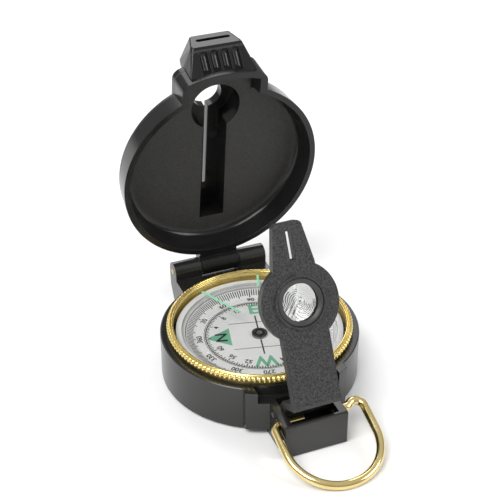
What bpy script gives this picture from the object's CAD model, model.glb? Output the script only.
import math

import bmesh
import bpy
from mathutils import Matrix, Vector


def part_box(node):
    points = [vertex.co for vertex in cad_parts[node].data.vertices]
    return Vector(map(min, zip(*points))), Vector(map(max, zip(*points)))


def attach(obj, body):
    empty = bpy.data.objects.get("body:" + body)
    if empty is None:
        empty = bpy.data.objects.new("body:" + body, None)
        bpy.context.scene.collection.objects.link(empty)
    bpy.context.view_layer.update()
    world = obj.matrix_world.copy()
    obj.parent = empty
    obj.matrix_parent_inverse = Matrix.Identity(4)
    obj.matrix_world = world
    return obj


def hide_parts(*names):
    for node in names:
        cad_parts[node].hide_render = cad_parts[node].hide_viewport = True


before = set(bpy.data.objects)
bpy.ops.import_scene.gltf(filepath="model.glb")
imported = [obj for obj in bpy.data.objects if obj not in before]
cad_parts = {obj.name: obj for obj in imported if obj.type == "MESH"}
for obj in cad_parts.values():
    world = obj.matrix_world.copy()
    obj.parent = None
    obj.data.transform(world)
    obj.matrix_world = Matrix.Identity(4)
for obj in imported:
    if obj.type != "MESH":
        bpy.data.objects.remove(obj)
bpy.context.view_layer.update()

MM = 0.001

# Heights and radii of the dial and the bezel, from the frame.
CARD_LOW, CARD_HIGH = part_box("dial_card")
CARD_FLAT_Z = CARD_LOW[2] + 0.3 * MM
CARD_TOP_Z = CARD_HIGH[2]
CARD_R = CARD_HIGH[0]
CARD_FLAT_R = 18.3 * MM
BEZEL_LOW, BEZEL_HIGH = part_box("bezel_ring")
NORTH = math.radians(166.5)
TEETH = 120

# Cover hinge and the cover's angle from closed, for the shading of its inner face.
HINGE_Y = 33.26 * MM
HINGE_Z = 15.92 * MM
LID_OPEN = math.radians(82.17)


# ---- Camera, light and floor ----

def make_camera():
    data = bpy.data.cameras.new("camera")
    data.lens = 91.26
    data.sensor_width = 36
    data.clip_start = 0.01
    camera = bpy.data.objects.new("camera", data)
    back = Vector((-0.31556, -0.77520, 0.54725)).normalized()
    right = Vector((-back.y, back.x, 0)).normalized()
    up = back.cross(right)
    camera.matrix_world = Matrix.Translation((-0.11274, -0.26963, 0.23140)) @ Matrix(
        (right, up, back)
    ).transposed().to_4x4()
    bpy.context.collection.objects.link(camera)
    bpy.context.scene.camera = camera


def area_light(name, place, target, size, power):
    data = bpy.data.lights.new(name, "AREA")
    data.energy = power
    data.shape = "SQUARE"
    data.size = size
    light = bpy.data.objects.new(name, data)
    light.location = place
    light.rotation_euler = (Vector(target) - Vector(place)).to_track_quat("-Z", "Y").to_euler()
    bpy.context.collection.objects.link(light)


def make_studio():
    area_light("key", (-0.45, -0.25, 0.80), (0, 0, 0.02), 0.55, 6.2)
    area_light("fill", (0.65, -0.45, 0.50), (0, 0, 0.03), 0.40, 2.4)
    area_light("back", (0.10, 0.80, 0.55), (0, 0, 0.03), 0.60, 3.6)
    world = bpy.data.worlds.new("studio")
    bpy.context.scene.world = world
    world.use_nodes = True
    tree = world.node_tree
    background = tree.nodes["Background"]
    place = tree.nodes.new("ShaderNodeTexCoord")
    split = tree.nodes.new("ShaderNodeSeparateXYZ")
    ramp = tree.nodes.new("ShaderNodeValToRGB")
    ramp.color_ramp.elements[0].position = 0.0
    ramp.color_ramp.elements[0].color = (0.34, 0.34, 0.34, 1)
    ramp.color_ramp.elements[1].position = 0.9
    ramp.color_ramp.elements[1].color = (0.75, 0.75, 0.75, 1)
    tree.links.new(place.outputs["Generated"], split.inputs["Vector"])
    tree.links.new(split.outputs["Z"], ramp.inputs["Fac"])
    tree.links.new(ramp.outputs["Color"], background.inputs["Color"])
    background.inputs["Strength"].default_value = 0.8


def make_floor():
    reach = 3.0
    mesh = bpy.data.meshes.new("floor")
    mesh.from_pydata(
        [(-reach, -reach, 0), (reach, -reach, 0), (reach, reach, 0), (-reach, reach, 0)],
        [], [(0, 1, 2, 3)])
    floor = bpy.data.objects.new("floor", mesh)
    bpy.context.collection.objects.link(floor)
    mesh.materials.append(plastic("floor_paper", (0.93, 0.93, 0.93), (0.95, 0.95, 0.95), 0.9,
                                  grain=40, bump=0, specular=0))


# ---- Materials ----

class Nodes:
    """Short calls for adding nodes and links to a material."""

    def __init__(self, name):
        self.material = bpy.data.materials.new(name)
        self.material.use_nodes = True
        self.tree = self.material.node_tree
        self.tree.nodes.clear()

    def add(self, kind, values=None, **settings):
        node = self.tree.nodes.new(kind)
        for key, value in settings.items():
            setattr(node, key, value)
        for key, value in (values or {}).items():
            node.inputs[key].default_value = value
        return node

    def link(self, source, target):
        self.tree.links.new(source, target)

    def output(self, shader):
        out = self.add("ShaderNodeOutputMaterial")
        self.link(shader, out.inputs["Surface"])
        return self.material

    def noise(self, scale, detail=4):
        place = self.add("ShaderNodeTexCoord")
        noise = self.add("ShaderNodeTexNoise", {"Scale": scale, "Detail": detail})
        self.link(place.outputs["Object"], noise.inputs["Vector"])
        return noise.outputs["Fac"]

    def ramp(self, value, stops):
        ramp = self.add("ShaderNodeValToRGB")
        elements = ramp.color_ramp.elements
        while len(elements) < len(stops):
            elements.new(0.5)
        for element, (place, colour) in zip(elements, stops):
            element.position = place
            element.color = (*colour[:3], 1)
        self.link(value, ramp.inputs["Fac"])
        return ramp.outputs["Color"]

    def scaled(self, value, low, high):
        scale = self.add("ShaderNodeMapRange", {"To Min": low, "To Max": high})
        self.link(value, scale.inputs["Value"])
        return scale.outputs["Result"]

    def math(self, operation, a, b=None):
        node = self.add("ShaderNodeMath", operation=operation)
        for socket, value in zip(node.inputs, (a, b)):
            if isinstance(value, (int, float)):
                socket.default_value = value
            elif value is not None:
                self.link(value, socket)
        return node.outputs["Value"]

    def rounded_bump(self, edge, height, strength, distance):
        normal = None
        if edge:
            normal = self.add("ShaderNodeBevel", {"Radius": edge}, samples=6).outputs["Normal"]
        if not strength:
            return normal
        bump = self.add("ShaderNodeBump", {"Strength": strength, "Distance": distance})
        self.link(height, bump.inputs["Height"])
        if normal:
            self.link(normal, bump.inputs["Normal"])
        return bump.outputs["Normal"]


def plastic(name, dark, pale, roughness, grain=3500, bump=0.1, edge=0, specular=0.5, spread=0.06):
    n = Nodes(name)
    cloud = n.noise(90, 5)
    fine = n.noise(grain, 3)
    shader = n.add("ShaderNodeBsdfPrincipled", {"Specular IOR Level": specular})
    n.link(n.ramp(cloud, [(0.3, dark), (0.7, pale)]), shader.inputs["Base Color"])
    n.link(n.scaled(cloud, roughness - spread, roughness + spread), shader.inputs["Roughness"])
    normal = n.rounded_bump(edge, fine, bump, 0.00006)
    if normal:
        n.link(normal, shader.inputs["Normal"])
    return n.output(shader.outputs["BSDF"])


def metal(name, dark, pale, roughness, grain=1200, bump=0.05, spread=0.05, metallic=1.0):
    n = Nodes(name)
    cloud = n.noise(160, 5)
    fine = n.noise(grain, 4)
    shader = n.add("ShaderNodeBsdfPrincipled", {"Metallic": metallic})
    n.link(n.ramp(cloud, [(0.3, dark), (0.7, pale)]), shader.inputs["Base Color"])
    n.link(n.scaled(fine, roughness - spread, roughness + spread), shader.inputs["Roughness"])
    n.link(n.rounded_bump(0, fine, bump, 0.00005), shader.inputs["Normal"])
    return n.output(shader.outputs["BSDF"])


def grained_black():
    """Matt black with the fine speckle of a spark-eroded mould."""
    n = Nodes("arm_black")
    speckle = n.noise(2400, 2)
    cloud = n.noise(60, 3)
    shader = n.add("ShaderNodeBsdfPrincipled", {"Specular IOR Level": 0.45})
    n.link(n.ramp(speckle, [(0.36, (0.012, 0.012, 0.012)), (0.66, (0.060, 0.060, 0.060))]),
           shader.inputs["Base Color"])
    n.link(n.scaled(cloud, 0.40, 0.52), shader.inputs["Roughness"])
    n.link(n.rounded_bump(0.2 * MM, speckle, 0.5, 0.0001), shader.inputs["Normal"])
    return n.output(shader.outputs["BSDF"])


def lid_plastic():
    """Glossy black, and matt with a fine grain on the flat inner face."""
    n = Nodes("lid_black")
    place = n.add("ShaderNodeTexCoord")
    split = n.add("ShaderNodeSeparateXYZ")
    n.link(place.outputs["Object"], split.inputs["Vector"])
    behind = n.math("MULTIPLY", n.math("SUBTRACT", split.outputs["Y"], HINGE_Y), math.sin(LID_OPEN))
    below = n.math("MULTIPLY", n.math("SUBTRACT", split.outputs["Z"], HINGE_Z), math.cos(LID_OPEN))
    depth = n.math("ADD", behind, below)
    on_plate = n.ramp(n.math("DIVIDE", depth, 10 * MM), [
        (0.660, (0, 0, 0)), (0.700, (1, 1, 1)), (0.712, (1, 1, 1)), (0.730, (0, 0, 0))])
    cloud = n.noise(120, 4)
    fine = n.noise(2600, 2)
    shader = n.add("ShaderNodeBsdfPrincipled", {"Specular IOR Level": 0.34})
    mixed = n.add("ShaderNodeMix", data_type="RGBA")
    n.link(on_plate, mixed.inputs["Factor"])
    n.link(n.ramp(cloud, [(0.3, (0.008, 0.008, 0.008)), (0.7, (0.012, 0.012, 0.012))]),
           mixed.inputs["A"])
    n.link(n.ramp(fine, [(0.35, (0.023, 0.0225, 0.021)), (0.65, (0.040, 0.039, 0.037))]),
           mixed.inputs["B"])
    n.link(mixed.outputs["Result"], shader.inputs["Base Color"])
    rough = n.math("ADD", n.scaled(cloud, 0.15, 0.20), n.math("MULTIPLY", on_plate, 0.36))
    n.link(rough, shader.inputs["Roughness"])
    n.link(n.rounded_bump(0.2 * MM, fine, 0.10, 0.00005), shader.inputs["Normal"])
    return n.output(shader.outputs["BSDF"])


def clear_glass(name, tint, gloss):
    """A thin clear sheet: it lets the view through and only adds a reflection."""
    n = Nodes(name)
    smear = n.noise(60, 3)
    see = n.add("ShaderNodeBsdfTransparent", {"Color": tint})
    shine = n.add("ShaderNodeBsdfGlossy", {"Color": (1, 1, 1, 1)})
    n.link(n.scaled(smear, 0.02, 0.07), shine.inputs["Roughness"])
    edge = n.add("ShaderNodeLayerWeight", {"Blend": 0.5})
    steep = n.math("POWER", edge.outputs["Facing"], 3)
    amount = n.math("MULTIPLY", steep, gloss)
    mix = n.add("ShaderNodeMixShader")
    n.link(amount, mix.inputs["Fac"])
    n.link(see.outputs["BSDF"], mix.inputs[1])
    n.link(shine.outputs["BSDF"], mix.inputs[2])
    return n.output(mix.outputs["Shader"])


def lens_glass():
    n = Nodes("lens_glass")
    smear = n.noise(200, 3)
    shader = n.add("ShaderNodeBsdfPrincipled", {
        "Base Color": (1, 1, 1, 1), "Transmission Weight": 1.0, "IOR": 1.5})
    n.link(n.scaled(smear, 0.0, 0.03), shader.inputs["Roughness"])
    return n.output(shader.outputs["BSDF"])


def ringed(name, stops, roughness, metallic):
    """A turned piece on the case axis, whose colour changes with the radius."""
    n = Nodes(name)
    place = n.add("ShaderNodeTexCoord")
    flat = n.add("ShaderNodeVectorMath", {1: (1, 1, 0)}, operation="MULTIPLY")
    n.link(place.outputs["Object"], flat.inputs[0])
    length = n.add("ShaderNodeVectorMath", operation="LENGTH")
    n.link(flat.outputs["Vector"], length.inputs[0])
    wobble = n.math("MULTIPLY", n.noise(300, 3), 0.1 * MM)
    radius = n.math("ADD", length.outputs["Value"], wobble)
    reach = stops[-1][0]
    shader = n.add("ShaderNodeBsdfPrincipled", {"Metallic": metallic})
    colour = n.ramp(n.math("DIVIDE", radius, reach), [(r / reach, c) for r, c in stops])
    n.link(colour, shader.inputs["Base Color"])
    n.link(n.scaled(n.noise(900), roughness - 0.05, roughness + 0.05), shader.inputs["Roughness"])
    return n.output(shader.outputs["BSDF"])


def paint(node, material):
    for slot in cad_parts[node].material_slots:
        slot.material = material


# ---- Mesh helpers ----

def add_piece(name, mesh, body, material, smooth=True, replaced=()):
    piece = bpy.data.objects.new(name, mesh)
    bpy.context.collection.objects.link(piece)
    mesh.materials.clear()
    mesh.materials.append(material)
    for face in mesh.polygons:
        face.use_smooth = smooth
    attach(piece, body)
    if replaced:
        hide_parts(*replaced)
    return piece


def mesh_from(name, bm):
    mesh = bpy.data.meshes.new(name)
    bm.to_mesh(mesh)
    bm.free()
    return mesh


def card_z(radius):
    """Height of the dial's surface at a radius."""
    if radius <= CARD_FLAT_R:
        return CARD_FLAT_Z
    slope = (CARD_TOP_Z - CARD_FLAT_Z) / (CARD_R - CARD_FLAT_R)
    return CARD_FLAT_Z + slope * (radius - CARD_FLAT_R)


def bearing(degrees):
    """Direction on the dial of a bearing, clockwise from north."""
    return NORTH - math.radians(degrees)


class Print:
    """Flat printing that lies just above the dial."""

    def __init__(self):
        self.bm = bmesh.new()
        self.lift = 0.03 * MM

    def polygon(self, corners):
        points = [(x, y, card_z(math.hypot(x, y)) + self.lift) for x, y in corners]
        self.bm.faces.new([self.bm.verts.new(p) for p in points])

    def line(self, start, end, width):
        start, end = Vector(start), Vector(end)
        side = (end - start).normalized().orthogonal() * width / 2
        self.polygon([start - side, end - side, end + side, start + side])

    def tick(self, degrees, r0, r1, width):
        way = Vector((math.cos(bearing(degrees)), math.sin(bearing(degrees))))
        self.line(way * r0, way * r1, width)

    def ring(self, r0, r1, steps=240):
        for i in range(steps):
            a, b = (math.tau * k / steps for k in (i, i + 1))
            self.polygon([(r * math.cos(t), r * math.sin(t)) for r, t in
                       ((r0, a), (r1, a), (r1, b), (r0, b))])

    def text(self, words, degrees, radius, size, weight=0.0, wide=1.0):
        curve = bpy.data.curves.new("words", "FONT")
        curve.body = words
        curve.size = size
        curve.offset = weight
        curve.align_x = "CENTER"
        curve.align_y = "CENTER"
        curve.resolution_u = 3
        holder = bpy.data.objects.new("words", curve)
        bpy.context.collection.objects.link(holder)
        mesh = holder.to_mesh().copy()
        holder.to_mesh_clear()
        angle = bearing(degrees)
        spin = Matrix.Rotation(angle - math.pi / 2, 4, "Z") @ Matrix.Diagonal((wide, 1, 1, 1))
        shift = Matrix.Translation((radius * math.cos(angle), radius * math.sin(angle),
                                    card_z(radius) + self.lift))
        mesh.transform(shift @ spin)
        self.bm.from_mesh(mesh)
        bpy.data.objects.remove(holder)
        bpy.data.curves.remove(curve)
        bpy.data.meshes.remove(mesh)

    def finish(self, name, material):
        add_piece(name, mesh_from(name, self.bm), "dial", material, smooth=False)


# ---- Dial ----

def dial_printing():
    black = Print()
    outer_r0, outer_r1 = 19.1 * MM, 21.0 * MM
    for i in range(180):
        long = i % 5 == 0
        black.tick(i * 2, outer_r0 - (0.6 * MM if long else 0), outer_r1, 0.30 * MM)
    for i in range(128):
        long = i % 8 == 0
        middle = i % 2 == 0
        inner = 14.0 * MM if long else 14.5 * MM if middle else 14.8 * MM
        black.tick(i * 360 / 128, inner, 15.55 * MM, 0.30 * MM)
    black.ring(15.40 * MM, 15.68 * MM)
    black.ring(15.90 * MM, 16.06 * MM)
    for value in range(30, 361, 30):
        black.text(str(value), value, 17.35 * MM, 2.25 * MM, 0.05 * MM)
    for value in range(4, 64, 4):
        if value not in (16, 32, 48):
            black.text(str(value), value * 360 / 64, 12.9 * MM, 2.2 * MM, 0.05 * MM)
    for side in (90, 270):
        black.tick(side, 2.5 * MM, 9.2 * MM, 0.42 * MM)
    north = Vector((math.cos(NORTH), math.sin(NORTH)))
    across = Vector((-north.y, north.x))
    for side in (-6.05 * MM, 6.05 * MM):
        black.line(north * 8.2 * MM + across * side, north * -8.2 * MM + across * side, 0.22 * MM)
    black.lift = 0.05 * MM         # the letter lies on the green arrow
    black.text("N", 0, 10.9 * MM, 4.7 * MM, 0.09 * MM, wide=1.15)
    black.finish("dial_black_print", plastic("dial_ink", (0.010, 0.010, 0.011), (0.02, 0.02, 0.02),
                                             0.6, bump=0))

    green = Print()
    half = 4.1 * MM
    green.polygon([north * 15.5 * MM, north * 8.45 * MM + across * half,
                   north * 8.45 * MM - across * half])
    green.text("E", 90, 12.2 * MM, 6.2 * MM, 0.22 * MM)
    green.text("W", 270, 12.2 * MM, 6.2 * MM, 0.22 * MM)
    green.text("S", 180, 12.2 * MM, 6.2 * MM, 0.22 * MM)
    green.finish("dial_green_print", lume("dial_green"))


def lume(name, glow=1.0):
    return plastic(name, (0.16 * glow, 0.44 * glow, 0.28 * glow),
                   (0.22 * glow, 0.54 * glow, 0.36 * glow), 0.6, grain=2500, bump=0.05)


# ---- Bezel ----

def bezel_profile():
    """The ring's section: radius, height, and how far a tooth adds to each, in millimetres."""
    top = BEZEL_HIGH[2]
    foot = top - 1.6 * MM
    low = BEZEL_LOW[2]
    skirt = 25.85 * MM
    bore = 25.21 * MM
    lip = 24.7 * MM
    rows = [
        (skirt, foot, 0, 0), (26.20 * MM, foot, 0.20, 0), (26.30 * MM, foot + 0.15 * MM, 0.34, 0),
        (26.31 * MM, foot + 0.85 * MM, 0.35, 0), (26.22 * MM, foot + 1.10 * MM, 0.26, 0.10),
        (26.05 * MM, foot + 1.28 * MM, 0.12, 0.14), (25.92 * MM, top - 0.22 * MM, 0.04, 0.10),
        (25.84 * MM, top - 0.12 * MM, 0, 0), (25.72 * MM, top - 0.12 * MM, 0, 0),
        (25.60 * MM, top - 0.40 * MM, 0, 0), (25.48 * MM, top - 0.46 * MM, 0, 0),
        (25.36 * MM, top - 0.40 * MM, 0, 0), (25.24 * MM, top - 0.06 * MM, 0, 0),
        (25.12 * MM, top, 0, 0), (24.96 * MM, top, 0, 0), (24.80 * MM, top - 0.06 * MM, 0, 0),
        (lip, top - 0.20 * MM, 0, 0), (lip, top - 0.9 * MM, 0, 0), (bore, top - 0.9 * MM, 0, 0),
    ]
    for i in range(5):
        start = top - (2.0 + 0.62 * i) * MM
        rows += [(bore, start, 0, 0), (bore + 0.26 * MM, start - 0.10 * MM, 0, 0),
                 (bore, start - 0.56 * MM, 0, 0)]
    return rows + [(bore, low, 0, 0), (skirt, low, 0, 0)]


def bezel_ring():
    per_tooth = 8
    steps = TEETH * per_tooth
    rows = bezel_profile()
    bm = bmesh.new()
    loops = []
    for i in range(steps):
        angle = math.tau * i / steps
        wave = 0.5 - 0.5 * math.cos(TEETH * angle)
        tooth = wave ** 0.6
        ring = []
        for radius, height, out, up in rows:
            r = radius + out * MM * tooth
            z = height + up * MM * tooth
            ring.append(bm.verts.new((r * math.cos(angle), r * math.sin(angle), z)))
        loops.append(ring)
    for i in range(steps):
        a, b = loops[i], loops[(i + 1) % steps]
        for k in range(len(rows)):
            m = (k + 1) % len(rows)
            bm.faces.new((a[k], b[k], b[m], a[m]))
    bmesh.ops.recalc_face_normals(bm, faces=bm.faces)
    material = metal("bezel_brass", (0.80, 0.61, 0.18), (0.92, 0.74, 0.30), 0.20, grain=2200,
                     bump=0.06, metallic=0.8)
    mesh = mesh_from("bezel_ring_turned", bm)
    piece = add_piece("bezel_ring_turned", mesh, "bezel", material, replaced=["bezel_ring"])
    piece.data.set_sharp_from_angle(angle=math.radians(50))


# ---- Carried-over CAD pieces ----

def paint_cad():
    case_black = plastic("case_black", (0.012, 0.012, 0.011), (0.016, 0.016, 0.015), 0.22,
                         grain=2500, bump=0.02, edge=0.2 * MM, specular=0.65, spread=0.015)
    arm_black = grained_black()
    ring_black = plastic("ring_black", (0.030, 0.030, 0.030), (0.045, 0.045, 0.045), 0.40,
                         grain=2600, bump=0.15, edge=0.15 * MM)
    steel = metal("steel", (0.42, 0.42, 0.43), (0.60, 0.60, 0.61), 0.30)
    wire = metal("wire_brass", (0.80, 0.62, 0.25), (0.92, 0.76, 0.38), 0.15, grain=900, bump=0.04)
    paint("base_case", case_black)
    paint("lid", lid_plastic())
    paint("lens_arm", arm_black)
    paint("lens_ring", ring_black)
    paint("lens", lens_glass())
    paint("lid_hinge_pin", metal("pin_brass", (0.62, 0.46, 0.20), (0.75, 0.58, 0.28), 0.28))
    paint("arm_hinge_pin", steel)
    paint("bezel_retaining_ring", steel)
    paint("click_spring", steel)
    paint("pivot_post", steel)
    paint("magnet_bar", metal("magnet_grey", (0.25, 0.25, 0.26), (0.35, 0.35, 0.36), 0.45))
    paint("thumb_loop", wire)
    paint("filler_plug", wire)
    paint("capsule_cup", plastic("capsule_white", (0.66, 0.67, 0.66), (0.80, 0.81, 0.80), 0.22,
                                 bump=0.02, edge=0.15 * MM))
    paint("capsule_gasket", plastic("gasket_silicone", (0.50, 0.51, 0.50), (0.60, 0.61, 0.60), 0.5))
    paint("capsule_window", clear_glass("window_glass", (0.99, 0.99, 0.99, 1), 0.35))
    paint("bezel_crystal", clear_glass("crystal_glass", (0.99, 0.99, 0.99, 1), 0.4))
    paint("short_luminous_line", lume("line_short_green", 1.5))
    paint("long_luminous_line", lume("line_long_green", 1.5))
    paint("dial_card", plastic("dial_white", (0.80, 0.81, 0.79), (0.87, 0.87, 0.85), 0.45,
                               grain=1500, bump=0.02))
    paint("dial_hub", ringed("hub_metal", [
        (0.0, (0.75, 0.75, 0.74)), (0.9 * MM, (0.70, 0.70, 0.69)), (1.05 * MM, (0.06, 0.06, 0.06)),
        (1.55 * MM, (0.10, 0.10, 0.10)), (1.75 * MM, (0.45, 0.45, 0.44)),
        (2.3 * MM, (0.25, 0.25, 0.24))], 0.25, 0.9))
    paint("jewel", plastic("jewel_red", (0.35, 0.02, 0.05), (0.45, 0.03, 0.07), 0.15, bump=0))


make_camera()
make_studio()
make_floor()
paint_cad()
dial_printing()
bezel_ring()
bpy.context.scene.view_settings.view_transform = "Standard"
